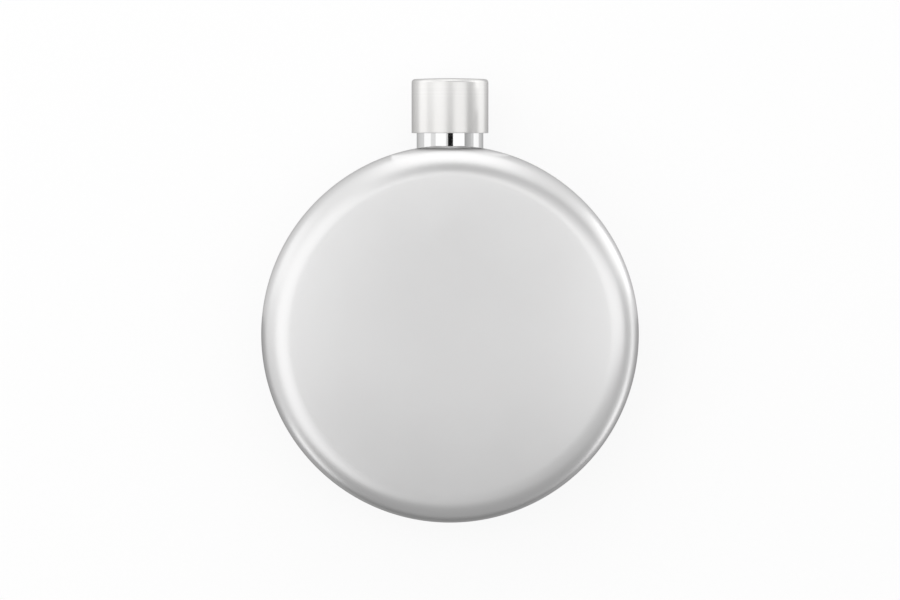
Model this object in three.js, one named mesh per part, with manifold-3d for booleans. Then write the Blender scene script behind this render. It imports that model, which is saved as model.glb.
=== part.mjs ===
// A round titanium canteen that lies on its flat back, with a screw cap on a short neck.
// Millimetres, +Z up. The origin is the centre of the rear face, +Z points out of the front face
// and +Y out of the mouth, along the axis that the neck and the cap share.
import * as THREE from "three";
import { mergeVertices } from "three/addons/utils/BufferGeometryUtils.js";
import Module from "manifold-3d";

const wasm = await Module();
wasm.setup();

// Body: two drawn half shells, butt welded round the girth. Each face has a flat centre, from which
// it falls away to its tilt in degrees, where the shoulder takes over.
const BODY_DIAMETER = 216;
const BODY_THICKNESS = 62;
const FACE_FLAT_DIAMETER = 68;
const FACE_TILT = 3;
const SHOULDER_WIDTH = 18.8;
const SHOULDER_DEPTH = 13.1;
const SHELL_WALL = 0.6;
const SEAM_WIDTH = 2.4;
const SEAM_CROWN = 0.2;

// Neck: a turned tube with a plain land below and a thread above
const NECK_BORE_DIAMETER = 33.2;
const NECK_WALL = 1.2;
const NECK_LAND_STEP = 0.3;
const NECK_LAND_COVERED = 3.5;
const NECK_EXPOSED = 7.1;
const NECK_FOOT_DEPTH = 2.5;
const NECK_RIM_ROUND = 0.4;
const NECK_WELD_LEG = 0.6;
const NECK_WELD_BULGE = 0.1;

// Thread: one start, right handed, of trapezoid section
const THREAD_PITCH = 4;
const THREAD_DEPTH = 1.1;
const THREAD_CREST_SHARE = 0.26;
const THREAD_BASE_SHARE = 0.5;
const THREAD_RADIAL_PLAY = 0.4;
const THREAD_RUN_OUT = 2;
const THREAD_LEAD_IN = 1.6;
const THREAD_TAPER_TURNS = 0.125;
const THREAD_EMBED = 0.5;

// Cap: a cup with a slightly crowned top, over a threaded insert that holds the gasket
const CAP_HEIGHT = 31.5;
const CAP_WALL = 1.2;
const CAP_CROWN = 0.5;
const CAP_EDGE_RADIUS = 2;
const CAP_RIM_CHAMFER = 0.3;
const INSERT_MOUTH_WALL = 0.9;
const INSERT_TOP = 1.2;
const INSERT_RECESS = 0.6;
const INSERT_RELIEF = 1.6;
const INSERT_LAND_PLAY = 0.5;
const GASKET_THICKNESS = 2;
const GASKET_OVERLAP = 2;
const GASKET_RIB = 1.2;

// Clearance between pieces that seat on each other, and the distance at which points are one
const SEAT_GAP = 0.3;
const VERTEX_TOLERANCE = 1e-4;

// Facets
const BODY_SEGMENTS = 72;
const NECK_SEGMENTS = 40;
const FACE_STEPS = 4;
const SHOULDER_STEPS = 6;
const EDGE_STEPS = 3;
const BEAD_STEPS = 3;
const CROWN_STEPS = 3;

// Sizes that follow from the ones above
const bodyRadius = BODY_DIAMETER / 2;
const midHeight = BODY_THICKNESS / 2;
const faceFlatRadius = FACE_FLAT_DIAMETER / 2;
const faceSlope = Math.tan(THREE.MathUtils.degToRad(FACE_TILT));
const shoulderStart = Math.atan((faceSlope * SHOULDER_WIDTH) / SHOULDER_DEPTH);
const faceRadius = bodyRadius - SHOULDER_WIDTH * (1 - Math.sin(shoulderStart));
const faceDrop = (faceSlope * (faceRadius - faceFlatRadius)) / 2;
const shoulderHeight = faceDrop + SHOULDER_DEPTH * Math.cos(shoulderStart);
const seamHalfGap = SEAM_WIDTH / 2 + SEAT_GAP;
const boreRadius = NECK_BORE_DIAMETER / 2;
const coreRadius = boreRadius + NECK_WALL;
const crestRadius = coreRadius + THREAD_DEPTH;
const landRadius = crestRadius + NECK_LAND_STEP;
const insertCrestRadius = coreRadius + THREAD_RADIAL_PLAY;
const insertRootRadius = crestRadius + THREAD_RADIAL_PLAY;
const insertPlainRadius = landRadius + INSERT_LAND_PLAY;
const insertOuterRadius = insertPlainRadius + INSERT_MOUTH_WALL;
const ribRadius = boreRadius - GASKET_OVERLAP - SEAT_GAP;
const capInnerRadius = insertOuterRadius + SEAT_GAP;
const capOuterRadius = capInnerRadius + CAP_WALL;

// Heights along +Y, from the centre of the body
const capBottom = bodyRadius + NECK_EXPOSED;
const capTop = capBottom + CAP_HEIGHT;
const capCeiling = capTop - CAP_CROWN - CAP_WALL;
const insertBottom = capBottom + INSERT_RECESS;
const insertTop = capCeiling - SEAT_GAP;
const insertCeiling = insertTop - INSERT_TOP;
const gasketTop = insertCeiling - SEAT_GAP;
const gasketBottom = gasketTop - GASKET_THICKNESS;
const neckRim = gasketBottom - SEAT_GAP;
const landTop = capBottom + NECK_LAND_COVERED;
const saddleLow = Math.min(saddleHeight(landRadius, 0), saddleHeight(landRadius, Math.PI / 2));
const neckFoot = saddleLow - SHELL_WALL - NECK_FOOT_DEPTH;
const threadStart = landTop + THREAD_DEPTH + NECK_LAND_STEP + THREAD_RUN_OUT;
const threadEnd = neckRim - THREAD_LEAD_IN;

// Materials, with the colours of the photographed object
function material(name, color, roughness, metalness) {
  return () => new THREE.MeshStandardMaterial({ name, color, roughness, metalness });
}
const blastedTitanium = material("blasted_titanium", 0xc9c8c5, 0.45, 1);
const turnedTitanium = material("turned_titanium", 0xcfcdc9, 0.3, 1);
const polishedTitanium = material("polished_titanium", 0xd6d5d2, 0.1, 1);
const weldTitanium = material("weld_titanium", 0xbdbab5, 0.35, 1);
const silicone = material("silicone", 0xe8e6e0, 0.6, 0);

// A point of a profile: distance from the axis, and height along it
function point(radius, height) {
  return new THREE.Vector2(radius, height);
}

// Points of an elliptical arc in a profile, both ends included, with angles from the outward radius
function ellipse(centre, width, depth, from, to, steps) {
  return new THREE.EllipseCurve(centre.x, centre.y, width, depth, from, to, to < from).getPoints(steps);
}

// The same for a circular arc
function arc(centre, radius, from, to, steps) {
  return ellipse(centre, radius, radius, from, to, steps);
}

// A closed profile turned about +Y, wound so that its faces point out
function turned(profile, segments) {
  let area = 0;
  profile.forEach((p, i) => {
    const q = profile[(i + 1) % profile.length];
    area += p.x * q.y - q.x * p.y;
  });
  const outward = area > 0 ? [...profile] : [...profile].reverse();
  outward.push(outward[0].clone());
  return new THREE.LatheGeometry(outward, segments);
}

// The same about +Z, for the pieces of the round body
function turnedAboutZ(profile, segments) {
  return turned(profile, segments).rotateX(Math.PI / 2);
}

// A closed geometry as a solid that can be joined and cut
function solid(geometry) {
  const bare = geometry.index ? geometry.toNonIndexed() : geometry.clone();
  bare.deleteAttribute("normal");
  bare.deleteAttribute("uv");
  const merged = mergeVertices(bare, VERTEX_TOLERANCE);
  const triVerts = new Uint32Array(merged.index.array);
  return new wasm.Manifold(
    new wasm.Mesh({ numProp: 3, vertProperties: merged.attributes.position.array, triVerts }),
  );
}

// A joined or cut solid as a geometry
function geometryOf(body) {
  const mesh = body.getMesh();
  const geometry = new THREE.BufferGeometry();
  geometry.setAttribute("position", new THREE.BufferAttribute(mesh.vertProperties, 3));
  geometry.setIndex(new THREE.BufferAttribute(mesh.triVerts, 1));
  geometry.computeVertexNormals();
  return geometry;
}

// Rings of points joined into one closed skin: a loop of rings, or a run of rings with flat ends.
// Each ring runs anticlockwise in radius and height, and the rings follow each other by angle.
function skinned(rings, looped) {
  const sides = rings[0].length;
  const positions = rings.flat().flatMap((p) => [p.x, p.y, p.z]);
  const faces = [];
  const spans = looped ? rings.length : rings.length - 1;
  for (let i = 0; i < spans; i += 1) {
    const here = i * sides;
    const next = ((i + 1) % rings.length) * sides;
    for (let j = 0; j < sides; j += 1) {
      const k = (j + 1) % sides;
      faces.push(here + j, next + k, here + k, here + j, next + j, next + k);
    }
  }
  if (!looped) {
    const last = (rings.length - 1) * sides;
    for (let j = 1; j < sides - 1; j += 1) {
      faces.push(0, j, j + 1, last, last + j + 1, last + j);
    }
  }
  const geometry = new THREE.BufferGeometry();
  geometry.setAttribute("position", new THREE.Float32BufferAttribute(positions, 3));
  geometry.setIndex(faces);
  return geometry;
}

// A round bar along +Y that cuts room for the neck through the body
function neckCutter(radius) {
  const length = bodyRadius;
  const bar = new THREE.CylinderGeometry(radius, radius, length, NECK_SEGMENTS);
  return solid(bar.translate(0, bodyRadius, midHeight));
}

// Outer radius of the body at a height over the rear face
function bodyRadiusAt(height) {
  const depth = Math.min(height, BODY_THICKNESS - height);
  const inset = Math.max(0, (shoulderHeight - depth) / SHOULDER_DEPTH);
  return bodyRadius - SHOULDER_WIDTH * (1 - Math.sqrt(1 - inset ** 2));
}

// Height along +Y of the body's skin under a point at a distance and an angle from the neck's axis
function saddleHeight(radius, angle) {
  const x = radius * Math.sin(angle);
  const skin = bodyRadiusAt(midHeight + radius * Math.cos(angle));
  return Math.sqrt(skin ** 2 - x ** 2);
}

// Points of the rear face from its flat centre to the shoulder, lifted by the wall for the inside
function faceFall(lift) {
  const points = [];
  for (let i = 0; i < FACE_STEPS; i += 1) {
    const share = i / FACE_STEPS;
    points.push(point(faceFlatRadius + (faceRadius - faceFlatRadius) * share, faceDrop * share ** 2 + lift));
  }
  return points;
}

// Rear half shell: a slightly crowned back, an elliptical shoulder and a straight side up to the girth weld
function rearShell() {
  const edge = midHeight - seamHalfGap;
  const centre = point(bodyRadius - SHOULDER_WIDTH, shoulderHeight);
  const innerWidth = SHOULDER_WIDTH - SHELL_WALL;
  const innerDepth = SHOULDER_DEPTH - SHELL_WALL;
  const start = shoulderStart - Math.PI / 2;
  const profile = [
    point(0, 0),
    ...faceFall(0),
    ...ellipse(centre, SHOULDER_WIDTH, SHOULDER_DEPTH, start, 0, SHOULDER_STEPS),
    point(bodyRadius, edge),
    point(bodyRadius - SHELL_WALL, edge),
    ...ellipse(centre, innerWidth, innerDepth, 0, start, SHOULDER_STEPS),
    ...faceFall(SHELL_WALL).reverse(),
    point(0, SHELL_WALL),
  ];
  const whole = solid(turnedAboutZ(profile, BODY_SEGMENTS));
  return geometryOf(whole.subtract(neckCutter(landRadius + SEAT_GAP)));
}

// Girth weld: a low bead in the gap between the half shells, open at the neck
function girthWeld() {
  const half = SEAM_WIDTH / 2;
  const profile = [
    point(bodyRadius - SHELL_WALL, midHeight - half),
    point(bodyRadius, midHeight - half),
    point(bodyRadius + SEAM_CROWN, midHeight),
    point(bodyRadius, midHeight + half),
    point(bodyRadius - SHELL_WALL, midHeight + half),
  ];
  const ring = solid(turnedAboutZ(profile, BODY_SEGMENTS));
  return geometryOf(ring.subtract(neckCutter(landRadius + NECK_WELD_LEG + 2 * SEAT_GAP)));
}

// A helical ridge about +Y, from a root radius to a crest radius, that sinks into its root at both ends
function threadRidge(rootRadius, tipRadius, from, to) {
  const outward = Math.sign(tipRadius - rootRadius);
  const buried = rootRadius - outward * THREAD_EMBED;
  const halfBase = (THREAD_PITCH * THREAD_BASE_SHARE) / 2;
  const halfCrest = (THREAD_PITCH * THREAD_CREST_SHARE) / 2;
  const turns = (to - from - 2 * halfBase) / THREAD_PITCH;
  const steps = Math.floor(turns * NECK_SEGMENTS);
  const taperSteps = Math.round(THREAD_TAPER_TURNS * NECK_SEGMENTS);
  const rings = [];
  for (let i = 0; i <= steps; i += 1) {
    const rise = Math.min(1, i / taperSteps, (steps - i) / taperSteps);
    const tip = rootRadius + (tipRadius - rootRadius) * rise - outward * (THREAD_EMBED / 2) * (1 - rise);
    const angle = (i / NECK_SEGMENTS) * 2 * Math.PI;
    const height = from + halfBase + (i / NECK_SEGMENTS) * THREAD_PITCH;
    const section = [
      [buried, -halfBase],
      [tip, -halfCrest],
      [tip, halfCrest],
      [buried, halfBase],
    ];
    if (outward < 0) section.reverse();
    rings.push(
      section.map(
        ([radius, offset]) =>
          new THREE.Vector3(radius * Math.sin(angle), height + offset, radius * Math.cos(angle)),
      ),
    );
  }
  return skinned(rings, false);
}

// Neck tube: foot in the body, polished land, thread relief, threaded core and a rounded rim
function neckTube() {
  const round = NECK_RIM_ROUND;
  const profile = [
    point(boreRadius, neckFoot),
    point(landRadius, neckFoot),
    point(landRadius, landTop),
    point(coreRadius, landTop + landRadius - coreRadius),
    ...arc(point(coreRadius - round, neckRim - round), round, 0, Math.PI / 2, EDGE_STEPS),
    ...arc(point(boreRadius + round, neckRim - round), round, Math.PI / 2, Math.PI, EDGE_STEPS),
  ];
  const tube = solid(turned(profile, NECK_SEGMENTS));
  const ridge = solid(threadRidge(coreRadius, crestRadius, threadStart, threadEnd));
  return geometryOf(tube.add(ridge));
}

// Neck weld: a fillet bead that follows the saddle where the neck leaves the body
function neckWeld() {
  const inner = landRadius + SEAT_GAP;
  const rings = [];
  for (let i = 0; i < NECK_SEGMENTS; i += 1) {
    const angle = (i / NECK_SEGMENTS) * 2 * Math.PI;
    const section = [[inner, SEAT_GAP]];
    for (let j = 0; j <= BEAD_STEPS; j += 1) {
      const share = j / BEAD_STEPS;
      const bulge = NECK_WELD_BULGE * Math.sin(Math.PI * share);
      const out = NECK_WELD_LEG * (1 - share) + bulge;
      const up = NECK_WELD_LEG * share + bulge;
      section.push([inner + out, SEAT_GAP + up]);
    }
    rings.push(
      section.map(
        ([radius, lift]) =>
          new THREE.Vector3(
            radius * Math.sin(angle),
            saddleHeight(radius, angle) + lift,
            radius * Math.cos(angle),
          ),
      ),
    );
  }
  return skinned(rings, true);
}

// Cap shell: a cup with a chamfered rim, a rounded top edge and a low crown
function capShell() {
  const shoulder = capTop - CAP_CROWN;
  const edgeCentre = point(capOuterRadius - CAP_EDGE_RADIUS, shoulder - CAP_EDGE_RADIUS);
  const crown = [];
  for (let i = 1; i <= CROWN_STEPS; i += 1) {
    const share = 1 - i / CROWN_STEPS;
    crown.push(point(edgeCentre.x * share, shoulder + CAP_CROWN * (1 - share ** 2)));
  }
  const profile = [
    point(capInnerRadius, capBottom),
    point(capOuterRadius - CAP_RIM_CHAMFER, capBottom),
    point(capOuterRadius, capBottom + CAP_RIM_CHAMFER),
    ...arc(edgeCentre, CAP_EDGE_RADIUS, 0, Math.PI / 2, EDGE_STEPS),
    ...crown,
    point(0, capCeiling),
    point(capInnerRadius, capCeiling),
  ];
  return turned(profile, NECK_SEGMENTS);
}

// Cap insert: a cup with the inner thread, and a round rib that holds the gasket in place
function capInsert() {
  const plainTop = landTop + INSERT_RELIEF;
  const profile = [
    point(insertPlainRadius, insertBottom),
    point(insertOuterRadius, insertBottom),
    point(insertOuterRadius, insertTop),
    point(0, insertTop),
    point(0, insertCeiling),
    point(ribRadius - GASKET_RIB, insertCeiling),
    point(ribRadius - GASKET_RIB, gasketBottom),
    point(ribRadius, gasketBottom),
    point(ribRadius, insertCeiling),
    point(insertRootRadius, insertCeiling),
    point(insertRootRadius, plainTop + insertPlainRadius - insertRootRadius),
    point(insertPlainRadius, plainTop),
  ];
  const cup = solid(turned(profile, NECK_SEGMENTS));
  const shift = THREAD_PITCH / 2;
  const ridge = threadRidge(insertRootRadius, insertCrestRadius, threadStart + shift, threadEnd - shift);
  return geometryOf(cup.add(solid(ridge)));
}

// Gasket: a flat silicone ring between the neck's rim and the insert
function gasket() {
  const inner = boreRadius - GASKET_OVERLAP;
  const outer = insertRootRadius - SEAT_GAP;
  const profile = [
    point(inner, gasketBottom),
    point(outer, gasketBottom),
    point(outer, gasketTop),
    point(inner, gasketTop),
  ];
  return turned(profile, NECK_SEGMENTS);
}

// One piece of the canteen, with a finish of its own
function piece(name, geometry, finish) {
  const mesh = new THREE.Mesh(geometry, finish());
  mesh.name = name;
  return mesh;
}

const canteen = new THREE.Group();

// The front shell is the rear shell turned over about the neck's axis
const frontShell = piece("front_shell", rearShell(), blastedTitanium);
frontShell.rotation.y = Math.PI;
frontShell.position.z = BODY_THICKNESS;
canteen.add(frontShell);
canteen.add(piece("rear_shell", rearShell(), blastedTitanium));
canteen.add(piece("girth_weld", girthWeld(), weldTitanium));

// The neck and the cap stand on the mid plane of the body
const mouth = new THREE.Group();
mouth.position.z = midHeight;
mouth.add(piece("neck_tube", neckTube(), polishedTitanium));
mouth.add(piece("neck_weld", neckWeld(), weldTitanium));
canteen.add(mouth);

const cap = new THREE.Group();
cap.add(piece("cap_shell", capShell(), turnedTitanium));
cap.add(piece("cap_insert", capInsert(), turnedTitanium));
cap.add(piece("cap_gasket", gasket(), silicone));
mouth.add(cap);

export default canteen;
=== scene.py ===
"""A round titanium canteen that lies on its back: blasted body, polished neck and a turned screw cap.

Metres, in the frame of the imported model: +Z out of the front face, +Y out of the mouth.
"""
import math

import bpy
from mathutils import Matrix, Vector


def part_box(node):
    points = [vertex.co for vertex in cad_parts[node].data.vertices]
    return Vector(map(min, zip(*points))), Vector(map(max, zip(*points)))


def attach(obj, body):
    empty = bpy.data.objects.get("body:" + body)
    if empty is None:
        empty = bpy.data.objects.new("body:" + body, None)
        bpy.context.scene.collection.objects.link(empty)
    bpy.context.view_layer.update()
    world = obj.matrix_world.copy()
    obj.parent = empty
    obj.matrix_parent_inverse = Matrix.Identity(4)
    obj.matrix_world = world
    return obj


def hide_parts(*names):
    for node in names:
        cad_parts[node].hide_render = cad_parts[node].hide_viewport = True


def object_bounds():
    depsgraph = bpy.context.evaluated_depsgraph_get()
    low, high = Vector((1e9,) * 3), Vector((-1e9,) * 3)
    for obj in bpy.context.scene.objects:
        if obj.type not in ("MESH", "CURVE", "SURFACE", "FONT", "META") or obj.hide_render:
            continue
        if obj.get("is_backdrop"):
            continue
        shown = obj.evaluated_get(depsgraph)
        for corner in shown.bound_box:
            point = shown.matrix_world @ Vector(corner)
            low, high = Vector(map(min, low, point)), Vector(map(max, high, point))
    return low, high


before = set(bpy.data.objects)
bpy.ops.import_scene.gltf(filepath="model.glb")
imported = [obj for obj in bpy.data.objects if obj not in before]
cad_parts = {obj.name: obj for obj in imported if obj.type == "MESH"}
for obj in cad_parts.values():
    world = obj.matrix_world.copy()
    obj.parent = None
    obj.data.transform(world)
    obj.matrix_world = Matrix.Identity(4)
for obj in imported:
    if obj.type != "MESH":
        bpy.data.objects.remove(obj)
CAD_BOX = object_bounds()
MM = 0.001

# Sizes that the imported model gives
BODY_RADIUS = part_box("front_shell")[1][0]
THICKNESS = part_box("front_shell")[1][2]
MID = THICKNESS / 2
REAR_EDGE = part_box("rear_shell")[1][2]
NECK_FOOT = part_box("neck_tube")[0][1]
NECK_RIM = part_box("neck_tube")[1][1]
LAND_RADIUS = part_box("neck_tube")[1][0]
CAP_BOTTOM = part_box("cap_shell")[0][1]
CAP_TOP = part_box("cap_shell")[1][1]
CAP_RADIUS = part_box("cap_shell")[1][0]
INSERT_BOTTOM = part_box("cap_insert")[0][1]
INSERT_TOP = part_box("cap_insert")[1][1]
INSERT_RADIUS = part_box("cap_insert")[1][0]
GASKET_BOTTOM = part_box("cap_gasket")[0][1]
GASKET_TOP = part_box("cap_gasket")[1][1]
GASKET_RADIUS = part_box("cap_gasket")[1][0]

# Sizes that the boxes don't tell, the same as in the solids
SHOULDER_WIDTH = 18.8 * MM
SHOULDER_DEPTH = 13.1 * MM
FACE_FLAT = 34 * MM
FACE_SLOPE = math.tan(math.radians(3))
SHOULDER_START = math.atan(FACE_SLOPE * SHOULDER_WIDTH / SHOULDER_DEPTH)
FACE_RADIUS = BODY_RADIUS - SHOULDER_WIDTH * (1 - math.sin(SHOULDER_START))
FACE_DROP = FACE_SLOPE * (FACE_RADIUS - FACE_FLAT) / 2
SHOULDER_HEIGHT = FACE_DROP + SHOULDER_DEPTH * math.cos(SHOULDER_START)
SHELL_WALL = 0.6 * MM
BORE_RADIUS = 16.6 * MM
CORE_RADIUS = 17.8 * MM
CREST_RADIUS = 18.9 * MM
LAND_TOP = CAP_BOTTOM + 3.5 * MM
THREAD_PITCH = 4 * MM
THREAD_BASE = 2 * MM
THREAD_CREST = 1.04 * MM
THREAD_START = LAND_TOP + 3.4 * MM
THREAD_END = NECK_RIM - 1.6 * MM
THREAD_PLAY = 0.4 * MM
THREAD_TAPER = math.tau / 8
INSERT_ROOT = CREST_RADIUS + THREAD_PLAY
INSERT_PLAIN = LAND_RADIUS + 0.5 * MM
INSERT_CEILING = INSERT_TOP - 1.2 * MM
CAP_WALL = 1.2 * MM
CAP_INNER = CAP_RADIUS - CAP_WALL
CAP_CROWN = 0.5 * MM
CAP_EDGE = 2 * MM
GASKET_INNER = 14.6 * MM
RIB_OUTER = 14.3 * MM
RIB_INNER = 13.1 * MM
WELD_LEG = 0.15 * MM

# Fineness of the meshes
BODY_SEGMENTS = 384
NECK_SEGMENTS = 240
FACE_STEPS = 16
ARC_STEPS = 28
ROUND_STEPS = 6
HOLD_SHARE = 0.05
THREAD_STEP = 0.1 * MM
SHARP_ANGLE = math.radians(38)
ON_AXIS = 1e-7
SAME_HEIGHT = 1e-9
SAME_WALL = 0.01 * MM


# Meshes

def mesh_object(name, verts, faces):
    """A smooth-shaded object from points and faces, with sharp edges kept."""
    mesh = bpy.data.meshes.new(name)
    mesh.from_pydata(verts, [], faces)
    mesh.validate()
    obj = bpy.data.objects.new(name, mesh)
    bpy.context.collection.objects.link(obj)
    smooth(obj)
    return obj


def smooth(obj):
    obj.data.shade_smooth()
    obj.data.set_sharp_from_angle(angle=SHARP_ANGLE)


def about_disc(radius, height, angle):
    """A point at a radius and height about the body's axis."""
    return (radius * math.cos(angle), radius * math.sin(angle), height)


def about_neck(radius, height, angle):
    """A point at a radius and height about the axis of the neck and cap."""
    return (radius * math.sin(angle), height, MID + radius * math.cos(angle))


def turned(name, profile, place, segments, relief=None):
    """A closed profile of radius and height, anticlockwise, turned about an axis.

    relief may change a point's radius with its height and angle, as a thread does.
    """
    verts = []
    rings = []
    for radius, height in profile:
        if radius < ON_AXIS:
            rings.append([len(verts)] * segments)
            verts.append(place(0, height, 0))
            continue
        ring = []
        for i in range(segments):
            angle = math.tau * i / segments
            r = relief(radius, height, angle) if relief else radius
            ring.append(len(verts))
            verts.append(place(r, height, angle))
        rings.append(ring)
    faces = []
    for here, above in zip(rings, rings[1:] + rings[:1]):
        for i in range(segments):
            k = (i + 1) % segments
            face = [here[i], here[k], above[k], above[i]]
            corners = list(dict.fromkeys(face))
            if len(corners) > 2:
                faces.append(corners)
    return mesh_object(name, verts, faces)


def arc(centre, width, depth, start, end, steps):
    """Points of an elliptical arc of a profile, with both ends."""
    angles = [start + (end - start) * i / steps for i in range(steps + 1)]
    return [(centre[0] + width * math.cos(a), centre[1] + depth * math.sin(a)) for a in angles]


def rounded(corners):
    """A closed profile from corners of radius, height and the radius that rounds them.

    A point just outside both ends of a bend keeps the shading of the straight runs flat.
    """
    points = []
    count = len(corners)
    for i, (r, h, bend) in enumerate(corners):
        here = Vector((r, h))
        if bend == 0:
            points.append((r, h))
            continue
        back = (Vector(corners[i - 1][:2]) - here).normalized()
        ahead = (Vector(corners[(i + 1) % count][:2]) - here).normalized()
        half = back.angle(ahead) / 2
        centre = here + (back + ahead).normalized() * (bend / math.sin(half))
        reach = bend / math.tan(half)
        hold = reach + bend * HOLD_SHARE
        first = here + back * reach - centre
        last = here + ahead * reach - centre
        sweep = first.angle_signed(last)
        points.append(tuple(here + back * hold))
        for j in range(ROUND_STEPS + 1):
            turn = -sweep * j / ROUND_STEPS
            c, s = math.cos(turn), math.sin(turn)
            points.append((centre.x + first.x * c - first.y * s, centre.y + first.x * s + first.y * c))
        points.append(tuple(here + ahead * hold))
    return points


def stepped(profile, low, high, step):
    """A profile with extra points on its straight runs between two heights."""
    points = []
    for (r0, h0), (r1, h1) in zip(profile, profile[1:] + profile[:1]):
        points.append((r0, h0))
        inside = low <= min(h0, h1) + SAME_HEIGHT and max(h0, h1) <= high + SAME_HEIGHT
        parts = max(1, round(abs(h1 - h0) / step)) if inside else 1
        for j in range(1, parts):
            share = j / parts
            points.append((r0 + (r1 - r0) * share, h0 + (h1 - h0) * share))
    return points


def swept(name, sections, looped):
    """Rings of points joined in order, with flat ends unless they close on themselves."""
    sides = len(sections[0])
    verts = [p for ring in sections for p in ring]
    faces = []
    count = len(sections)
    for i in range(count if looped else count - 1):
        here, there = i * sides, (i + 1) % count * sides
        for j in range(sides):
            k = (j + 1) % sides
            faces.append([here + j, there + j, there + k, here + k])
    if not looped:
        faces.append(list(range(sides)))
        faces.append([(count - 1) * sides + j for j in reversed(range(sides))])
    return mesh_object(name, verts, faces)


def drilled(obj, radius):
    """Cuts room for the neck into a shell."""
    bar = [(0, 0), (radius, 0), (radius, 2 * BODY_RADIUS), (0, 2 * BODY_RADIUS)]
    tool = turned("neck_drill", bar, about_neck, NECK_SEGMENTS)
    cut = obj.modifiers.new("neck_hole", "BOOLEAN")
    cut.operation = "DIFFERENCE"
    cut.solver = "EXACT"
    cut.object = tool
    bpy.context.view_layer.update()
    shaped = obj.evaluated_get(bpy.context.evaluated_depsgraph_get())
    obj.data = bpy.data.meshes.new_from_object(shaped)
    obj.modifiers.clear()
    bpy.data.objects.remove(tool)
    smooth(obj)


# Pieces

def body_shell(name, front):
    """Half of the body: a slightly crowned face, an elliptical shoulder and a straight side."""
    centre = (BODY_RADIUS - SHOULDER_WIDTH, SHOULDER_HEIGHT)
    inner_width = SHOULDER_WIDTH - SHELL_WALL
    inner_depth = SHOULDER_DEPTH - SHELL_WALL
    start = SHOULDER_START - math.pi / 2
    face = [(0, 0), (FACE_FLAT / 2, 0)]
    for i in range(FACE_STEPS):
        share = i / FACE_STEPS
        face.append((FACE_FLAT + (FACE_RADIUS - FACE_FLAT) * share, FACE_DROP * share ** 2))
    profile = list(face)
    profile += arc(centre, SHOULDER_WIDTH, SHOULDER_DEPTH, start, 0, ARC_STEPS)
    profile += [(BODY_RADIUS, REAR_EDGE), (BODY_RADIUS - SHELL_WALL, REAR_EDGE)]
    profile += arc(centre, inner_width, inner_depth, 0, start, ARC_STEPS)
    profile += [(r, h + SHELL_WALL) for r, h in reversed(face)]
    if front:
        profile = [(r, THICKNESS - h) for r, h in reversed(profile)]
    shell = turned(name, profile, about_disc, BODY_SEGMENTS)
    drilled(shell, (BORE_RADIUS + LAND_RADIUS) / 2)
    return shell


def skin_height(radius, angle):
    """Height along +Y of the body's skin at a radius and angle about the neck's axis."""
    depth = THICKNESS / 2 - abs(radius * math.cos(angle))
    inset = max(0, (SHOULDER_HEIGHT - depth) / SHOULDER_DEPTH)
    skin = BODY_RADIUS - SHOULDER_WIDTH * (1 - math.sqrt(1 - inset ** 2))
    return math.sqrt(skin ** 2 - (radius * math.sin(angle)) ** 2)


def ripple(turns, across):
    """The crescent ripples that a welder leaves, from 0 to 1."""
    bow = 0.35
    return 0.5 + 0.5 * math.cos(math.tau * (turns + bow * across ** 2))


def girth_bead():
    """The blasted weld bead round the girth, open where the neck stands."""
    half_width = 1.7 * MM
    crown = 0.2 * MM
    ripple_length = 1.2 * MM
    ripple_depth = 0.05 * MM
    steps_per_ripple = 6
    steps_across = 8
    root = BODY_RADIUS - SHELL_WALL * 0.7
    edge = BODY_RADIUS - 0.02 * MM
    opening = math.asin((LAND_RADIUS + WELD_LEG * 0.5) / BODY_RADIUS)
    sweep = math.tau - 2 * opening
    ripples = round(sweep * BODY_RADIUS / ripple_length)
    shares = [-1 + 2 * j / steps_across for j in range(steps_across + 1)]
    sections = []
    for i in range(ripples * steps_per_ripple + 1):
        turns = i / steps_per_ripple
        angle = math.pi / 2 + opening + sweep * turns / ripples
        ring = [about_disc(root, MID + half_width, angle), about_disc(root, MID - half_width, angle)]
        for s in shares:
            rise = (crown - ripple_depth * ripple(turns, s)) * math.sqrt(max(0, 1 - s * s))
            ring.append(about_disc(edge + rise, MID + half_width * s, angle))
        sections.append(ring)
    return swept("girth_bead", sections, False)


def neck_bead():
    """The fillet bead where the neck leaves the body."""
    ripples = 96
    steps_per_ripple = 8
    ripple_depth = 0.03 * MM
    sink = 0.35 * MM
    bulge = 0.06 * MM
    toe = 0.05 * MM
    steps_across = 7
    shares = [j / steps_across for j in range(steps_across + 1)]
    sections = []
    for i in range(ripples * steps_per_ripple):
        turns = i / steps_per_ripple
        angle = math.tau * turns / ripples
        ring = [about_neck(LAND_RADIUS - sink, skin_height(LAND_RADIUS, angle) - sink, angle)]
        for s in shares:
            swell = (bulge - ripple_depth * ripple(turns, 2 * s - 1)) * math.sin(math.pi * s)
            r = LAND_RADIUS + WELD_LEG * (1 - s) + swell
            lift = WELD_LEG * s + swell - toe * (1 - s)
            ring.append(about_neck(r, skin_height(r, angle) + lift, angle))
        ring.append(about_neck(LAND_RADIUS - sink, skin_height(LAND_RADIUS, angle) + WELD_LEG, angle))
        sections.append(ring)
    return swept("neck_bead", sections, True)


def thread_relief(start, end, height_out):
    """A function that raises a one-start ridge by height_out on a turned wall between two heights."""
    first = start + THREAD_BASE / 2
    last_turn = math.tau * (end - start - THREAD_BASE) / THREAD_PITCH

    def relief(radius, height, angle):
        turn = round((height - first - THREAD_PITCH * angle / math.tau) / THREAD_PITCH)
        wound = angle + math.tau * turn
        if not 0 <= wound <= last_turn:
            return radius
        off = abs(height - first - THREAD_PITCH * wound / math.tau)
        flank = (THREAD_BASE / 2 - off) / ((THREAD_BASE - THREAD_CREST) / 2)
        flank = min(1, max(0, flank))
        flank = flank * flank * (3 - 2 * flank)
        ends = min(1, wound / THREAD_TAPER, (last_turn - wound) / THREAD_TAPER)
        return radius + height_out * flank * ends

    return relief


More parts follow.
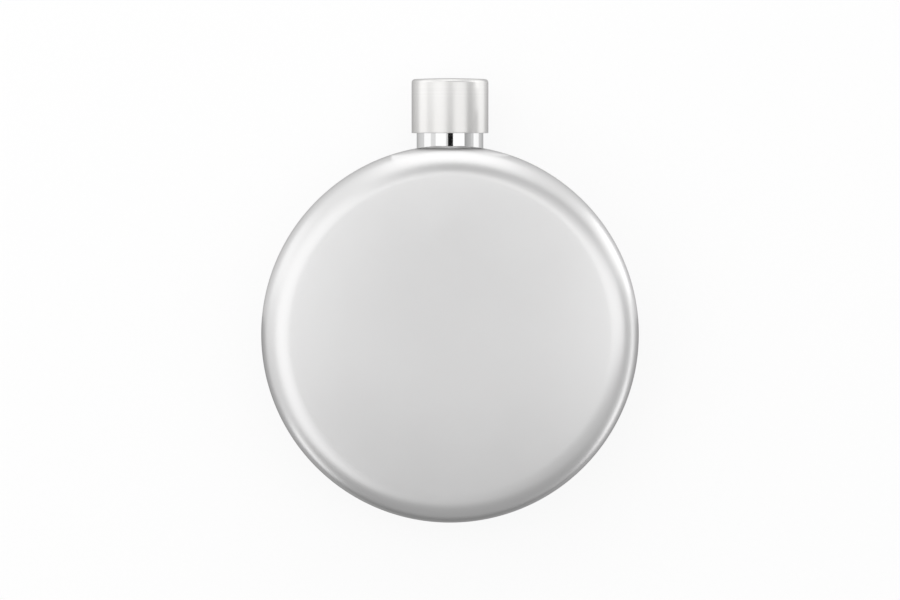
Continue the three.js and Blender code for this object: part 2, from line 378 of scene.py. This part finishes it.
def neck():
    """The turned neck: foot inside the body, polished land, thread and a rounded drinking rim."""
    rim = (CORE_RADIUS - BORE_RADIUS) / 2 * 0.9
    edge = 0.3 * MM
    thread_runout = 0.5 * MM
    corners = [
        (BORE_RADIUS, NECK_FOOT, edge),
        (LAND_RADIUS, NECK_FOOT, edge),
        (LAND_RADIUS, LAND_TOP, edge),
        (CORE_RADIUS, LAND_TOP + LAND_RADIUS - CORE_RADIUS, thread_runout),
        (CORE_RADIUS, NECK_RIM, rim),
        (BORE_RADIUS, NECK_RIM, rim),
    ]
    profile = stepped(rounded(corners), LAND_TOP, NECK_RIM, THREAD_STEP)
    thread = thread_relief(THREAD_START, THREAD_END, CREST_RADIUS - CORE_RADIUS)

    def outside(radius, height, angle):
        return thread(radius, height, angle) if radius > CORE_RADIUS - SAME_WALL else radius

    return turned("neck", profile, about_neck, NECK_SEGMENTS, outside)


def cap_cup():
    """The cap's outer cup, with softened rims and a low crown."""
    shoulder = CAP_TOP - CAP_CROWN
    ceiling = shoulder - CAP_WALL
    flat = CAP_RADIUS - CAP_EDGE
    crown_steps = 12
    inner_edge = 0.15 * MM
    outer_edge = 0.35 * MM
    corners = [
        (CAP_INNER, CAP_BOTTOM, inner_edge),
        (CAP_RADIUS, CAP_BOTTOM, outer_edge),
        (CAP_RADIUS, shoulder, CAP_EDGE),
    ]
    profile = rounded(corners + [(0, shoulder, 0), (0, ceiling, 0), (CAP_INNER, ceiling, 0)])
    profile.remove((0, shoulder))
    crown = []
    for i in range(1, crown_steps + 1):
        share = 1 - i / crown_steps
        crown.append((flat * share, shoulder + CAP_CROWN * (1 - share ** 2)))
    at = profile.index((0, ceiling))
    profile[at:at] = crown
    return turned("cap_cup", profile, about_neck, NECK_SEGMENTS)


def cap_liner():
    """The threaded liner inside the cap, with the rib that holds the gasket."""
    plain_top = LAND_TOP + 1.6 * MM
    edge = 0.2 * MM
    rib_edge = 0.3 * MM
    corners = [
        (INSERT_PLAIN, INSERT_BOTTOM, edge),
        (INSERT_RADIUS, INSERT_BOTTOM, edge),
        (INSERT_RADIUS, INSERT_TOP, rib_edge),
        (0, INSERT_TOP, 0),
        (0, INSERT_CEILING, 0),
        (RIB_INNER, INSERT_CEILING, rib_edge),
        (RIB_INNER, GASKET_BOTTOM, rib_edge),
        (RIB_OUTER, GASKET_BOTTOM, rib_edge),
        (RIB_OUTER, INSERT_CEILING, edge),
        (INSERT_ROOT, INSERT_CEILING, edge),
        (INSERT_ROOT, plain_top + INSERT_PLAIN - INSERT_ROOT, edge),
        (INSERT_PLAIN, plain_top, edge),
    ]
    profile = stepped(rounded(corners), plain_top, INSERT_CEILING, THREAD_STEP)
    half = THREAD_PITCH / 2
    tip = CORE_RADIUS + THREAD_PLAY
    thread = thread_relief(THREAD_START + half, THREAD_END - half, tip - INSERT_ROOT)

    def inside(radius, height, angle):
        return thread(radius, height, angle) if abs(radius - INSERT_ROOT) < SAME_WALL else radius

    return turned("cap_liner", profile, about_neck, NECK_SEGMENTS, inside)


def seal_ring():
    """The silicone gasket, with the shallow print that the neck's rim leaves in it."""
    print_radius = (BORE_RADIUS + CORE_RADIUS) / 2
    print_half = 0.9 * MM
    print_depth = 0.12 * MM
    bend = 0.35 * MM
    steps = 10
    profile = rounded([
        (GASKET_INNER, GASKET_BOTTOM, bend),
        (GASKET_RADIUS, GASKET_BOTTOM, bend),
        (GASKET_RADIUS, GASKET_TOP, bend),
        (GASKET_INNER, GASKET_TOP, bend),
    ])
    groove = []
    for i in range(steps + 1):
        share = -1 + 2 * i / steps
        depth = print_depth * (1 + math.cos(math.pi * share)) / 2
        groove.append((print_radius + print_half * share, GASKET_BOTTOM + depth))
    corner = ROUND_STEPS + 3
    profile[corner:corner] = groove
    return turned("seal_ring", profile, about_neck, NECK_SEGMENTS)


# Materials

class Nodes:
    """Short ways to add and link shader nodes in one tree."""

    def __init__(self, tree):
        self.tree = tree
        tree.nodes.clear()

    def add(self, kind, inputs=None, **settings):
        node = self.tree.nodes.new(kind)
        for key, value in settings.items():
            setattr(node, key, value)
        for key, value in (inputs or {}).items():
            if isinstance(value, bpy.types.NodeSocket):
                self.tree.links.new(value, node.inputs[key])
            else:
                node.inputs[key].default_value = value
        return node

    def math(self, operation, a, b=0.0):
        return self.add("ShaderNodeMath", {0: a, 1: b}, operation=operation).outputs[0]

    def range(self, value, low, high, to_low, to_high):
        node = self.add("ShaderNodeMapRange", {0: value, 1: low, 2: high, 3: to_low, 4: to_high})
        return node.outputs[0]

    def noise(self, vector, scale, detail=2.0, rough=0.5):
        inputs = {"Vector": vector, "Scale": scale, "Detail": detail, "Roughness": rough}
        return self.add("ShaderNodeTexNoise", inputs).outputs[0]

    def blend(self, factor, one, other):
        inputs = {"Factor": factor, "A": one, "B": other}
        node = self.add("ShaderNodeMix", data_type="RGBA")
        for key, value in inputs.items():
            socket = next(s for s in node.inputs if s.name == key and s.enabled)
            if isinstance(value, bpy.types.NodeSocket):
                self.tree.links.new(value, socket)
            else:
                socket.default_value = value
        return next(s for s in node.outputs if s.enabled)

    def place(self):
        return self.add("ShaderNodeTexCoord").outputs["Object"]


def new_material(name):
    mat = bpy.data.materials.new(name)
    mat.use_nodes = True
    return mat, Nodes(mat.node_tree)


def surface(n, color, roughness, normal, constants):
    """A principled surface from linked colour, roughness and bump, with constants set on its sockets."""
    shader = n.add("ShaderNodeBsdfPrincipled", {
        "Base Color": color, "Roughness": roughness, "Normal": normal})
    for key, value in constants.items():
        shader.inputs[key].default_value = value
    n.add("ShaderNodeOutputMaterial", {"Surface": shader.outputs[0]})


# Titanium reflects a little less at grazing angles than a plain metal
METAL = {"Metallic": 1.0, "Specular Tint": (0.55, 0.55, 0.55, 1)}
RUBBER = {"Metallic": 0.0, "Subsurface Weight": 0.15, "Subsurface Scale": 0.002}


def grey(value, red=0.0, blue=0.0):
    """A near-neutral colour, with a little more or less red and blue than green."""
    return (value * (1 + red), value, value * (1 + blue), 1)


def blasted_titanium(name, value):
    """Bead-blasted sheet: fine grain, with faint clouds in tone and sheen."""
    mat, n = new_material(name)
    place = n.place()
    grain = n.noise(place, 1700, 3, 0.6)
    cloud = n.noise(place, 22, 4, 0.55)
    tone = n.math("ADD", n.math("MULTIPLY", cloud, 0.7), n.math("MULTIPLY", grain, 0.3))
    color = n.blend(n.range(tone, 0.35, 0.65, 0, 1), grey(value * 0.99, 0.005), grey(value * 1.01, 0.003))
    rough = n.range(cloud, 0.3, 0.7, 0.31, 0.33)
    bump = n.add("ShaderNodeBump", {"Strength": 0.3, "Distance": 0.02 * MM, "Height": grain})
    surface(n, color, rough, bump.outputs[0], METAL)
    return mat


def turning_lines(n, scale, detail):
    """Fine rings about the neck's axis: along its length on a side, and by radius on an end face."""
    place = n.place()
    parts = n.add("ShaderNodeSeparateXYZ", {0: place})
    depth = n.math("SUBTRACT", parts.outputs[2], MID)
    across = n.add("ShaderNodeCombineXYZ", {"X": parts.outputs[0], "Y": depth})
    radius = n.add("ShaderNodeVectorMath", {0: across.outputs[0]}, operation="LENGTH").outputs["Value"]
    along = n.math("ADD", parts.outputs[1], radius)
    inputs = {"W": along, "Scale": scale, "Detail": detail, "Roughness": 0.65}
    return place, n.add("ShaderNodeTexNoise", inputs, noise_dimensions="1D").outputs[0]


def turned_titanium_with_painted_shade(name, value):
    """Lathe-turned and blasted metal: rings over a soft grain, fainter towards the mouth, with painted
    shade that darkens the colour towards it.
    """
    mat, n = new_material(name)
    place, lines = turning_lines(n, 1000, 4)
    grain = n.noise(place, 2200, 2, 0.6)
    height = n.add("ShaderNodeSeparateXYZ", {0: place}).outputs[1]
    depth = n.range(height, (CAP_BOTTOM + CAP_TOP) / 2, CAP_TOP, 0.05, 0.35)
    rings = n.math("MULTIPLY", n.range(lines, 0.3, 0.7, -1, 1), depth)
    # Painted shade: the colour grows darker from the cap's top towards its open end, on top of the rings.
    tone = n.math("ADD", rings, n.range(height, CAP_BOTTOM, CAP_TOP, 0.05, 0.7))
    color = n.blend(tone, grey(value * 0.9, 0.01, -0.015), grey(value * 1.03, 0.008, -0.012))
    rough = n.range(height, CAP_BOTTOM, CAP_TOP, 0.28, 0.33)
    fine = n.add("ShaderNodeBump", {"Strength": 0.25, "Distance": 0.01 * MM, "Height": grain})
    bump = n.add("ShaderNodeBump", {
        "Strength": depth, "Distance": 0.015 * MM, "Height": lines, "Normal": fine.outputs[0]})
    surface(n, color, rough, bump.outputs[0], METAL)
    return mat


def polished_titanium(name, value):
    """Polished metal with faint turning rings and hairline scratches."""
    mat, n = new_material(name)
    place, lines = turning_lines(n, 2600, 3)
    smear = n.noise(place, 140, 3, 0.6)
    color = n.blend(n.range(lines, 0.3, 0.7, 0, 1), grey(value * 0.98), grey(value * 1.01))
    rough = n.range(smear, 0.35, 0.7, 0.05, 0.09)
    bump = n.add("ShaderNodeBump", {"Strength": 0.08, "Distance": 0.005 * MM, "Height": lines})
    surface(n, color, rough, bump.outputs[0], METAL)
    return mat


def weld_titanium(name, value):
    """Weld metal: duller, with a trace of oxide in random patches."""
    mat, n = new_material(name)
    place = n.place()
    grain = n.noise(place, 1300, 4, 0.6)
    patch = n.noise(place, 160, 3, 0.5)
    dull = grey(value * 0.9, 0.02, -0.02)
    bright = grey(value * 1.08, 0.008, -0.008)
    color = n.blend(n.range(patch, 0.35, 0.65, 0, 1), dull, bright)
    rough = n.range(grain, 0.3, 0.7, 0.34, 0.44)
    bump = n.add("ShaderNodeBump", {"Strength": 0.3, "Distance": 0.02 * MM, "Height": grain})
    surface(n, color, rough, bump.outputs[0], METAL)
    return mat


def silicone(name):
    """Translucent white silicone with a fine moulded grain."""
    mat, n = new_material(name)
    place = n.place()
    grain = n.noise(place, 1500, 3, 0.5)
    cloud = n.noise(place, 90, 3, 0.5)
    color = n.blend(n.range(cloud, 0.3, 0.7, 0, 1), (0.74, 0.73, 0.70, 1), (0.82, 0.81, 0.78, 1))
    rough = n.range(grain, 0.3, 0.7, 0.42, 0.55)
    bump = n.add("ShaderNodeBump", {"Strength": 0.2, "Distance": 0.02 * MM, "Height": grain})
    surface(n, color, rough, bump.outputs[0], RUBBER)
    return mat


# Putting the pieces on the bodies

def fit(piece, node, body, mat):
    """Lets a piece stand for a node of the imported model."""
    piece.data.materials.clear()
    piece.data.materials.append(mat)
    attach(piece, body)
    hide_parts(node)


SHEET_TONE = 0.65
WELD_TONE = 0.55
blasted = blasted_titanium("blasted_titanium_look", SHEET_TONE)
# The turned look carries painted shade, darker towards the cap's open end.
turned_look_with_painted_shade = turned_titanium_with_painted_shade("turned_titanium_painted_shade_look", SHEET_TONE)
polished = polished_titanium("polished_titanium_look", SHEET_TONE)
weld = weld_titanium("weld_titanium_look", WELD_TONE)
soft = silicone("silicone_look")

fit(body_shell("body_rear", False), "rear_shell", "canteen", blasted)
fit(body_shell("body_front", True), "front_shell", "canteen", blasted)
fit(girth_bead(), "girth_weld", "canteen", weld)
fit(neck(), "neck_tube", "canteen", polished)
fit(neck_bead(), "neck_weld", "canteen", weld)
fit(cap_cup(), "cap_shell", "cap", turned_look_with_painted_shade)
fit(cap_liner(), "cap_insert", "cap", turned_look_with_painted_shade)
fit(seal_ring(), "cap_gasket", "seal", soft)


# Stage

def sheet(name, corners, mat):
    """A flat four-cornered piece of the stage."""
    mesh = bpy.data.meshes.new(name)
    mesh.from_pydata(corners, [], [(0, 1, 2, 3)])
    mesh.materials.append(mat)
    obj = bpy.data.objects.new(name, mesh)
    bpy.context.collection.objects.link(obj)
    obj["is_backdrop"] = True
    return obj


def seen_directly(n):
    """1 on camera, glossy and transmission rays, which show the background."""
    path = n.add("ShaderNodeLightPath").outputs
    either = n.math("MAXIMUM", path["Is Camera Ray"], path["Is Glossy Ray"])
    return n.math("MAXIMUM", either, path["Is Transmission Ray"])


def floor_material():
    """White paper: lit by the lamps, and lifted towards white where it is seen."""
    lift = 0.85
    mat, n = new_material("floor_paper")
    speck = n.noise(n.place(), 400, 3, 0.5)
    color = n.blend(n.range(speck, 0.3, 0.7, 0, 1), (0.89, 0.89, 0.89, 1), (0.92, 0.92, 0.92, 1))
    paper = n.add("ShaderNodeBsdfDiffuse", {"Color": color}).outputs[0]
    white = n.add("ShaderNodeEmission", {"Color": (1, 1, 1, 1), "Strength": 1.0}).outputs[0]
    factor = n.math("MULTIPLY", seen_directly(n), lift)
    mixed = n.add("ShaderNodeMixShader", {0: factor, 1: paper, 2: white}).outputs[0]
    n.add("ShaderNodeOutputMaterial", {"Surface": mixed})
    return mat


def panel(name, x, y, z, strength, end_strength=None):
    """A soft light or a grey card across two spans, at one value of the third coordinate.

    It may fade from strength to end_strength along its last span.
    """
    spans = (x, y, z)
    across, along = [axis for axis in range(3) if isinstance(spans[axis], tuple)]
    start = Vector([span[0] if isinstance(span, tuple) else span for span in spans])
    width, run = Vector(), Vector()
    width[across] = spans[across][1] - spans[across][0]
    run[along] = spans[along][1] - spans[along][0]
    mat, n = new_material(name + "_glow")
    if end_strength is None:
        level = strength
    else:
        place = n.add("ShaderNodeSeparateXYZ", {0: n.place()}).outputs[along]
        level = n.range(place, *spans[along], strength, end_strength)
    glow = n.add("ShaderNodeEmission", {"Color": (1, 1, 1, 1), "Strength": level}).outputs[0]
    n.add("ShaderNodeOutputMaterial", {"Surface": glow})
    obj = sheet(name, [start, start + width, start + width + run, start + run], mat)
    obj.visible_camera = False
    return obj


def low_card(*args):
    """A panel near the floor, which only shows in the metal and leaves the floor's light alone."""
    card = panel(*args)
    card.visible_diffuse = False
    card.visible_shadow = False


def world_light():
    """Even fill light, with a white background where it is seen."""
    fill = 0.3
    world = bpy.data.worlds.new("studio")
    bpy.context.scene.world = world
    world.use_nodes = True
    n = Nodes(world.node_tree)
    strength = n.math("MAXIMUM", seen_directly(n), fill)
    glow = n.add("ShaderNodeBackground", {"Color": (1, 1, 1, 1), "Strength": strength}).outputs[0]
    n.add("ShaderNodeOutputWorld", {"Surface": glow})


FLOOR_HALF = 6.0
sheet("floor", [(-FLOOR_HALF, -FLOOR_HALF, 0), (FLOOR_HALF, -FLOOR_HALF, 0),
                (FLOOR_HALF, FLOOR_HALF, 0), (-FLOOR_HALF, FLOOR_HALF, 0)], floor_material())

# Ceiling: large soft lights on the left and right, and dimmer cards between and around them
CEILING = 1.55
SIDE = 1.85
HEAD = 1.4
panel("left_light", (-SIDE, -0.37), (-0.45, 0.8), CEILING, 1.55)
panel("left_foot_light", (-SIDE, -0.6), (-HEAD, -0.45), CEILING, 1.45)
panel("left_head_light", (-SIDE, -0.3), (0.8, HEAD), CEILING, 1.2)
panel("right_light", (0.28, SIDE), (-0.3, 0.45), CEILING, 1.6)
panel("right_head_light", (0.25, SIDE), (0.45, HEAD), CEILING, 1, 0.4)
panel("right_foot_light", (0.25, SIDE), (-HEAD, -0.3), CEILING, 0.7)
panel("centre_light", (-0.37, 0.28), (-0.16, 0.02), CEILING, 1.5)
panel("lens_card", (-0.19, 0.28), (0.02, 0.2), CEILING, 0.01)
panel("bridge_light", (-0.37, 0.28), (0.2, 0.52), CEILING, 1.75)
panel("head_card", (-0.3, 0.25), (0.52, HEAD), CEILING, 0.45)
panel("foot_card", (-0.5, 0.25), (-0.5, -0.16), CEILING, 0.6)
panel("foot_far_card", (-0.5, 0.25), (-HEAD, -0.5), CEILING, 0.8)

# Walls: bright at the head and dim at the foot
FLOOR_GAP = 0.005
WALL_TOP = 1.5
panel("left_foot_wall", -SIDE, (-HEAD, -0.3), (FLOOR_GAP, WALL_TOP), 0.95)
panel("left_wall", -SIDE, (-0.3, 0.3), (FLOOR_GAP, WALL_TOP), 1.1)
panel("left_head_wall", -SIDE, (0.3, HEAD), (FLOOR_GAP, WALL_TOP), 1.5)
panel("right_strip", SIDE, (-HEAD, HEAD), (FLOOR_GAP, 0.35), 1.7)
panel("right_wall", SIDE, (-HEAD, 0.5), (0.35, WALL_TOP), 0.8, 0.5)
panel("right_head_wall", SIDE, (0.5, HEAD), (0.35, WALL_TOP), 1.9, 1)
panel("head_wall", (-0.6, 0.6), HEAD, (FLOOR_GAP, WALL_TOP), 1.65)
panel("head_left_wall", (-SIDE, -0.6), HEAD, (FLOOR_GAP, WALL_TOP), 1.15)
panel("head_right_wall", (0.6, SIDE), HEAD, (FLOOR_GAP, WALL_TOP), 1.1)
panel("foot_wall", (-SIDE, SIDE), -HEAD, (FLOOR_GAP, WALL_TOP), 0.5)

# Low cards: bright ones and a shade beside the cap, bright ones off the rim, and grey mats on the floor
BESIDE_CAP = 0.035
CARD_FOOT = 0.106
CARD_HEAD = 0.2
SHADE_STEP = 0.128
SHADE_HEAD = 0.141
SHADE_BOTTOM = 0.045
SHADE_TOP = 0.051
low_card("left_bounce", -BESIDE_CAP, (CARD_FOOT, CARD_HEAD), (0.0395, 0.0555), 1.5)
low_card("right_bounce", BESIDE_CAP, (CARD_FOOT, CARD_HEAD), (0.031, SHADE_BOTTOM), 1.5)
low_card("right_shade", BESIDE_CAP, (CARD_FOOT, SHADE_STEP), (SHADE_BOTTOM, SHADE_TOP), 0.9)
low_card("right_head_shade", BESIDE_CAP, (SHADE_STEP, SHADE_HEAD), (SHADE_BOTTOM, SHADE_TOP), 1.3)
low_card("right_head_bounce", 0.25, (0.045, 0.2), (FLOOR_GAP, 0.06), 2.1)
low_card("right_foot_bounce", 0.35, (-0.35, -0.12), (FLOOR_GAP, 0.07), 1.8)
low_card("left_foot_bounce", -0.35, (-0.45, -0.22), (FLOOR_GAP, 0.14), 1.6)
low_card("near_mat", (-0.45, 0.3), (-0.17, 0.01), FLOOR_GAP, 0.6)
low_card("foot_mat", (-0.45, 0.25), (-1.2, -0.17), FLOOR_GAP, 0.32)

world_light()


# Camera

LENS = 135
SENSOR = 36
FRAME_PIXELS = 900
PIXELS_PER_METRE = 1749
LEAN = math.radians(2.8)
AIM = Vector((0, 19.8 * MM, THICKNESS - SHOULDER_HEIGHT))

camera_data = bpy.data.cameras.new("camera")
camera_data.lens = LENS
camera_data.sensor_width = SENSOR
camera = bpy.data.objects.new("camera", camera_data)
distance = LENS / SENSOR * FRAME_PIXELS / PIXELS_PER_METRE
camera.location = AIM + Vector((0, math.sin(LEAN), math.cos(LEAN))) * distance
camera.rotation_euler = (-LEAN, 0, 0)
bpy.context.collection.objects.link(camera)
scene = bpy.context.scene
scene.camera = camera
scene.view_settings.view_transform = "Standard"

boxes = {"cad": CAD_BOX, "visual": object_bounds()}
{key: [list(corner) for corner in box] for key, box in boxes.items()}
